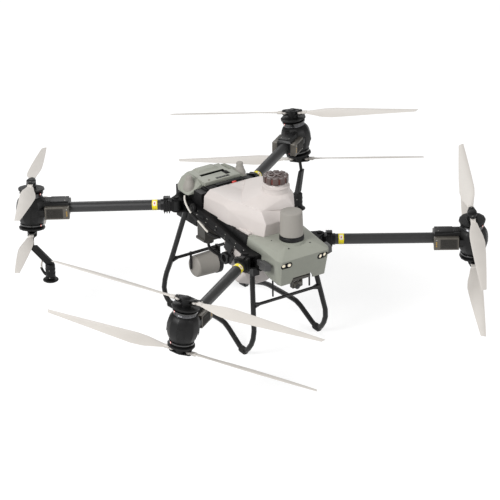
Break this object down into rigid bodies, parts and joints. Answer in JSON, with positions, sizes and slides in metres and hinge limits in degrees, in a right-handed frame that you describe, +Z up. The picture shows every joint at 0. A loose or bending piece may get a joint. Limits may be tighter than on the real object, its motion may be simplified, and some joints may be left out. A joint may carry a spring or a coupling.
{
  "type": "agricultural spraying drone",
  "caption": "Spraying drone with folding arms, stacked rotor pairs with folding blades, liquid tank, lift-out battery, radar domes, spray nozzles and tubular landing legs.",
  "frame": {"origin": "on the ground under the middle of the craft", "axes": "+Z up, -Y towards the nose, +X towards the craft's own left side"},
  "size_m": [2.4562, 2.584, 0.839],
  "materials": {
    "frame_black": "satin",
    "carbon_tube": "satin woven carbon",
    "pod_metal": "satin anodised",
    "rotor_metal": "satin anodised",
    "blade_white": "satin",
    "tank_white": "satin translucent",
    "cap_brown": "satin",
    "shell_grey": "satin",
    "dome_grey": "matte",
    "window_black": "gloss",
    "camera_grey": "satin",
    "leg_tube": "satin",
    "pump_grey": "matte",
    "nozzle_black": "satin"
  },
  "bodies": {
    "airframe": {"side_beam_left": "frame_black", "side_beam_right": "frame_black", "front_cross_member": "frame_black", "rear_bulkhead": "frame_black", "rear_shoulder_left": "shell_grey", "rear_shoulder_right": "shell_grey", "tank": "tank_white", "nose_shell": "shell_grey", "vision_window_left": "window_black", "vision_window_right": "window_black", "front_radar": "dome_grey", "camera_bracket": "pump_grey", "lamp_left": "camera_grey", "lamp_right": "camera_grey", "pump_left": "pump_grey", "pump_right": "pump_grey", "landing_leg_left": "leg_tube", "landing_leg_right": "leg_tube", "front_crossbar": "leg_tube", "rear_crossbar": "leg_tube", "rear_radar": "dome_grey"},
    "arm_front_left": {"arm_front_left": "carbon_tube", "pod_front_left": "pod_metal"},
    "rotor_upper_front_left": {"rotor_upper_front_left": "rotor_metal"},
    "blade_upper_front_left_1": {"blade_upper_front_left_1": "blade_white"},
    "blade_upper_front_left_2": {"blade_upper_front_left_2": "blade_white"},
    "rotor_lower_front_left": {"rotor_lower_front_left": "rotor_metal"},
    "blade_lower_front_left_1": {"blade_lower_front_left_1": "blade_white"},
    "blade_lower_front_left_2": {"blade_lower_front_left_2": "blade_white"},
    "arm_front_right": {"arm_front_right": "carbon_tube", "pod_front_right": "pod_metal"},
    "rotor_upper_front_right": {"rotor_upper_front_right": "rotor_metal"},
    "blade_upper_front_right_1": {"blade_upper_front_right_1": "blade_white"},
    "blade_upper_front_right_2": {"blade_upper_front_right_2": "blade_white"},
    "rotor_lower_front_right": {"rotor_lower_front_right": "rotor_metal"},
    "blade_lower_front_right_1": {"blade_lower_front_right_1": "blade_white"},
    "blade_lower_front_right_2": {"blade_lower_front_right_2": "blade_white"},
    "arm_rear_left": {"arm_rear_left": "carbon_tube", "pod_rear_left": "pod_metal", "nozzle_drop_rear_left": "nozzle_black"},
    "rotor_upper_rear_left": {"rotor_upper_rear_left": "rotor_metal"},
    "blade_upper_rear_left_1": {"blade_upper_rear_left_1": "blade_white"},
    "blade_upper_rear_left_2": {"blade_upper_rear_left_2": "blade_white"},
    "rotor_lower_rear_left": {"rotor_lower_rear_left": "rotor_metal"},
    "blade_lower_rear_left_1": {"blade_lower_rear_left_1": "blade_white"},
    "blade_lower_rear_left_2": {"blade_lower_rear_left_2": "blade_white"},
    "spray_disc_rear_left": {"spray_disc_rear_left": "nozzle_black"},
    "arm_rear_right": {"arm_rear_right": "carbon_tube", "pod_rear_right": "pod_metal", "nozzle_drop_rear_right": "nozzle_black"},
    "rotor_upper_rear_right": {"rotor_upper_rear_right": "rotor_metal"},
    "blade_upper_rear_right_1": {"blade_upper_rear_right_1": "blade_white"},
    "blade_upper_rear_right_2": {"blade_upper_rear_right_2": "blade_white"},
    "rotor_lower_rear_right": {"rotor_lower_rear_right": "rotor_metal"},
    "blade_lower_rear_right_1": {"blade_lower_rear_right_1": "blade_white"},
    "blade_lower_rear_right_2": {"blade_lower_rear_right_2": "blade_white"},
    "spray_disc_rear_right": {"spray_disc_rear_right": "nozzle_black"},
    "camera": {"camera": "camera_grey"},
    "tank_cap": {"tank_cap": "cap_brown"},
    "battery": {"battery": "shell_grey"}
  },
  "joints": [
    {"name": "arm_fold_front_left", "type": "hinge", "parent": "airframe", "child": "arm_front_left", "pos_m": [0.216, -0.30256, 0.503], "axis": [0, 0, 1], "range_deg": [0, 90]},
    {"name": "rotor_spin_upper_front_left", "type": "hinge", "parent": "arm_front_left", "child": "rotor_upper_front_left", "pos_m": [0.82422, -0.72277, 0.62487], "axis": [-0.099, -0.0869, 0.9913], "continuous": true},
    {"name": "blade_fold_upper_front_left_1", "type": "hinge", "parent": "rotor_upper_front_left", "child": "blade_upper_front_left_1", "pos_m": [0.84698, -0.68788, 0.63021], "axis": [-0.099, -0.0869, 0.9913], "range_deg": [0, 90]},
    {"name": "blade_fold_upper_front_left_2", "type": "hinge", "parent": "rotor_upper_front_left", "child": "blade_upper_front_left_2", "pos_m": [0.80147, -0.75767, 0.61954], "axis": [0.099, 0.0869, -0.9913], "range_deg": [0, 90]},
    {"name": "rotor_spin_lower_front_left", "type": "hinge", "parent": "arm_front_left", "child": "rotor_lower_front_left", "pos_m": [0.84978, -0.70035, 0.36912], "axis": [-0.099, -0.0869, 0.9913], "continuous": true},
    {"name": "blade_fold_lower_front_left_1", "type": "hinge", "parent": "rotor_lower_front_left", "child": "blade_lower_front_left_1", "pos_m": [0.87253, -0.66545, 0.37446], "axis": [-0.099, -0.0869, 0.9913], "range_deg": [0, 90]},
    {"name": "blade_fold_lower_front_left_2", "type": "hinge", "parent": "rotor_lower_front_left", "child": "blade_lower_front_left_2", "pos_m": [0.82702, -0.73524, 0.36379], "axis": [0.099, 0.0869, -0.9913], "range_deg": [0, 90]},
    {"name": "arm_fold_front_right", "type": "hinge", "parent": "airframe", "child": "arm_front_right", "pos_m": [-0.216, -0.30256, 0.503], "axis": [0, 0, -1], "range_deg": [0, 90]},
    {"name": "rotor_spin_upper_front_right", "type": "hinge", "parent": "arm_front_right", "child": "rotor_upper_front_right", "pos_m": [-0.82422, -0.72277, 0.62487], "axis": [0.099, -0.0869, 0.9913], "continuous": true},
    {"name": "blade_fold_upper_front_right_1", "type": "hinge", "parent": "rotor_upper_front_right", "child": "blade_upper_front_right_1", "pos_m": [-0.80147, -0.75767, 0.61954], "axis": [0.099, -0.0869, 0.9913], "range_deg": [0, 90]},
    {"name": "blade_fold_upper_front_right_2", "type": "hinge", "parent": "rotor_upper_front_right", "child": "blade_upper_front_right_2", "pos_m": [-0.84698, -0.68788, 0.63021], "axis": [-0.099, 0.0869, -0.9913], "range_deg": [0, 90]},
    {"name": "rotor_spin_lower_front_right", "type": "hinge", "parent": "arm_front_right", "child": "rotor_lower_front_right", "pos_m": [-0.84978, -0.70035, 0.36912], "axis": [0.099, -0.0869, 0.9913], "continuous": true},
    {"name": "blade_fold_lower_front_right_1", "type": "hinge", "parent": "rotor_lower_front_right", "child": "blade_lower_front_right_1", "pos_m": [-0.82702, -0.73524, 0.36379], "axis": [0.099, -0.0869, 0.9913], "range_deg": [0, 90]},
    {"name": "blade_fold_lower_front_right_2", "type": "hinge", "parent": "rotor_lower_front_right", "child": "blade_lower_front_right_2", "pos_m": [-0.87253, -0.66545, 0.37446], "axis": [-0.099, 0.0869, -0.9913], "range_deg": [0, 90]},
    {"name": "arm_fold_rear_left", "type": "hinge", "parent": "airframe", "child": "arm_rear_left", "pos_m": [0.216, 0.30744, 0.583], "axis": [0, 0, -1], "range_deg": [0, 50]},
    {"name": "rotor_spin_upper_rear_left", "type": "hinge", "parent": "arm_rear_left", "child": "rotor_upper_rear_left", "pos_m": [0.78252, 0.74229, 0.69124], "axis": [-0.089, 0.1074, 0.9902], "continuous": true},
    {"name": "blade_fold_upper_rear_left_1", "type": "hinge", "parent": "rotor_upper_rear_left", "child": "blade_upper_rear_left_1", "pos_m": [0.75808, 0.77594, 0.68539], "axis": [-0.089, 0.1074, 0.9902], "range_deg": [0, 90]},
    {"name": "blade_fold_upper_rear_left_2", "type": "hinge", "parent": "rotor_upper_rear_left", "child": "blade_upper_rear_left_2", "pos_m": [0.80697, 0.70864, 0.69708], "axis": [0.089, -0.1074, -0.9902], "range_deg": [0, 90]},
    {"name": "rotor_spin_lower_rear_left", "type": "hinge", "parent": "arm_rear_left", "child": "rotor_lower_rear_left", "pos_m": [0.80548, 0.71459, 0.43576], "axis": [-0.089, 0.1074, 0.9902], "continuous": true},
    {"name": "blade_fold_lower_rear_left_1", "type": "hinge", "parent": "rotor_lower_rear_left", "child": "blade_lower_rear_left_1", "pos_m": [0.78104, 0.74824, 0.42991], "axis": [-0.089, 0.1074, 0.9902], "range_deg": [0, 90]},
    {"name": "blade_fold_lower_rear_left_2", "type": "hinge", "parent": "rotor_lower_rear_left", "child": "blade_lower_rear_left_2", "pos_m": [0.82993, 0.68094, 0.44161], "axis": [0.089, -0.1074, -0.9902], "range_deg": [0, 90]},
    {"name": "disc_spin_rear_left", "type": "hinge", "parent": "arm_rear_left", "child": "spray_disc_rear_left", "pos_m": [0.74891, 0.65106, 0.19025], "axis": [0, 0, 1], "continuous": true},
    {"name": "arm_fold_rear_right", "type": "hinge", "parent": "airframe", "child": "arm_rear_right", "pos_m": [-0.216, 0.30744, 0.583], "axis": [0, 0, 1], "range_deg": [0, 50]},
    {"name": "rotor_spin_upper_rear_right", "type": "hinge", "parent": "arm_rear_right", "child": "rotor_upper_rear_right", "pos_m": [-0.78252, 0.74229, 0.69124], "axis": [0.089, 0.1074, 0.9902], "continuous": true},
    {"name": "blade_fold_upper_rear_right_1", "type": "hinge", "parent": "rotor_upper_rear_right", "child": "blade_upper_rear_right_1", "pos_m": [-0.80697, 0.70864, 0.69708], "axis": [0.089, 0.1074, 0.9902], "range_deg": [0, 90]},
    {"name": "blade_fold_upper_rear_right_2", "type": "hinge", "parent": "rotor_upper_rear_right", "child": "blade_upper_rear_right_2", "pos_m": [-0.75808, 0.77594, 0.68539], "axis": [-0.089, -0.1074, -0.9902], "range_deg": [0, 90]},
    {"name": "rotor_spin_lower_rear_right", "type": "hinge", "parent": "arm_rear_right", "child": "rotor_lower_rear_right", "pos_m": [-0.80548, 0.71459, 0.43576], "axis": [0.089, 0.1074, 0.9902], "continuous": true},
    {"name": "blade_fold_lower_rear_right_1", "type": "hinge", "parent": "rotor_lower_rear_right", "child": "blade_lower_rear_right_1", "pos_m": [-0.82993, 0.68094, 0.44161], "axis": [0.089, 0.1074, 0.9902], "range_deg": [0, 90]},
    {"name": "blade_fold_lower_rear_right_2", "type": "hinge", "parent": "rotor_lower_rear_right", "child": "blade_lower_rear_right_2", "pos_m": [-0.78104, 0.74824, 0.42991], "axis": [-0.089, -0.1074, -0.9902], "range_deg": [0, 90]},
    {"name": "disc_spin_rear_right", "type": "hinge", "parent": "arm_rear_right", "child": "spray_disc_rear_right", "pos_m": [-0.74891, 0.65106, 0.19025], "axis": [0, 0, 1], "continuous": true},
    {"name": "camera_tilt", "type": "hinge", "parent": "airframe", "child": "camera", "pos_m": [-0.03, -0.45656, 0.386], "axis": [1, 0, 0], "range_deg": [-30, 90]},
    {"name": "cap_lift", "type": "slide", "parent": "airframe", "child": "tank_cap", "axis": [0, 0, 1], "range_m": [0, 0.08]},
    {"name": "battery_lift", "type": "slide", "parent": "airframe", "child": "battery", "axis": [0, 0, 1], "range_m": [0, 0.25]}
  ]
}
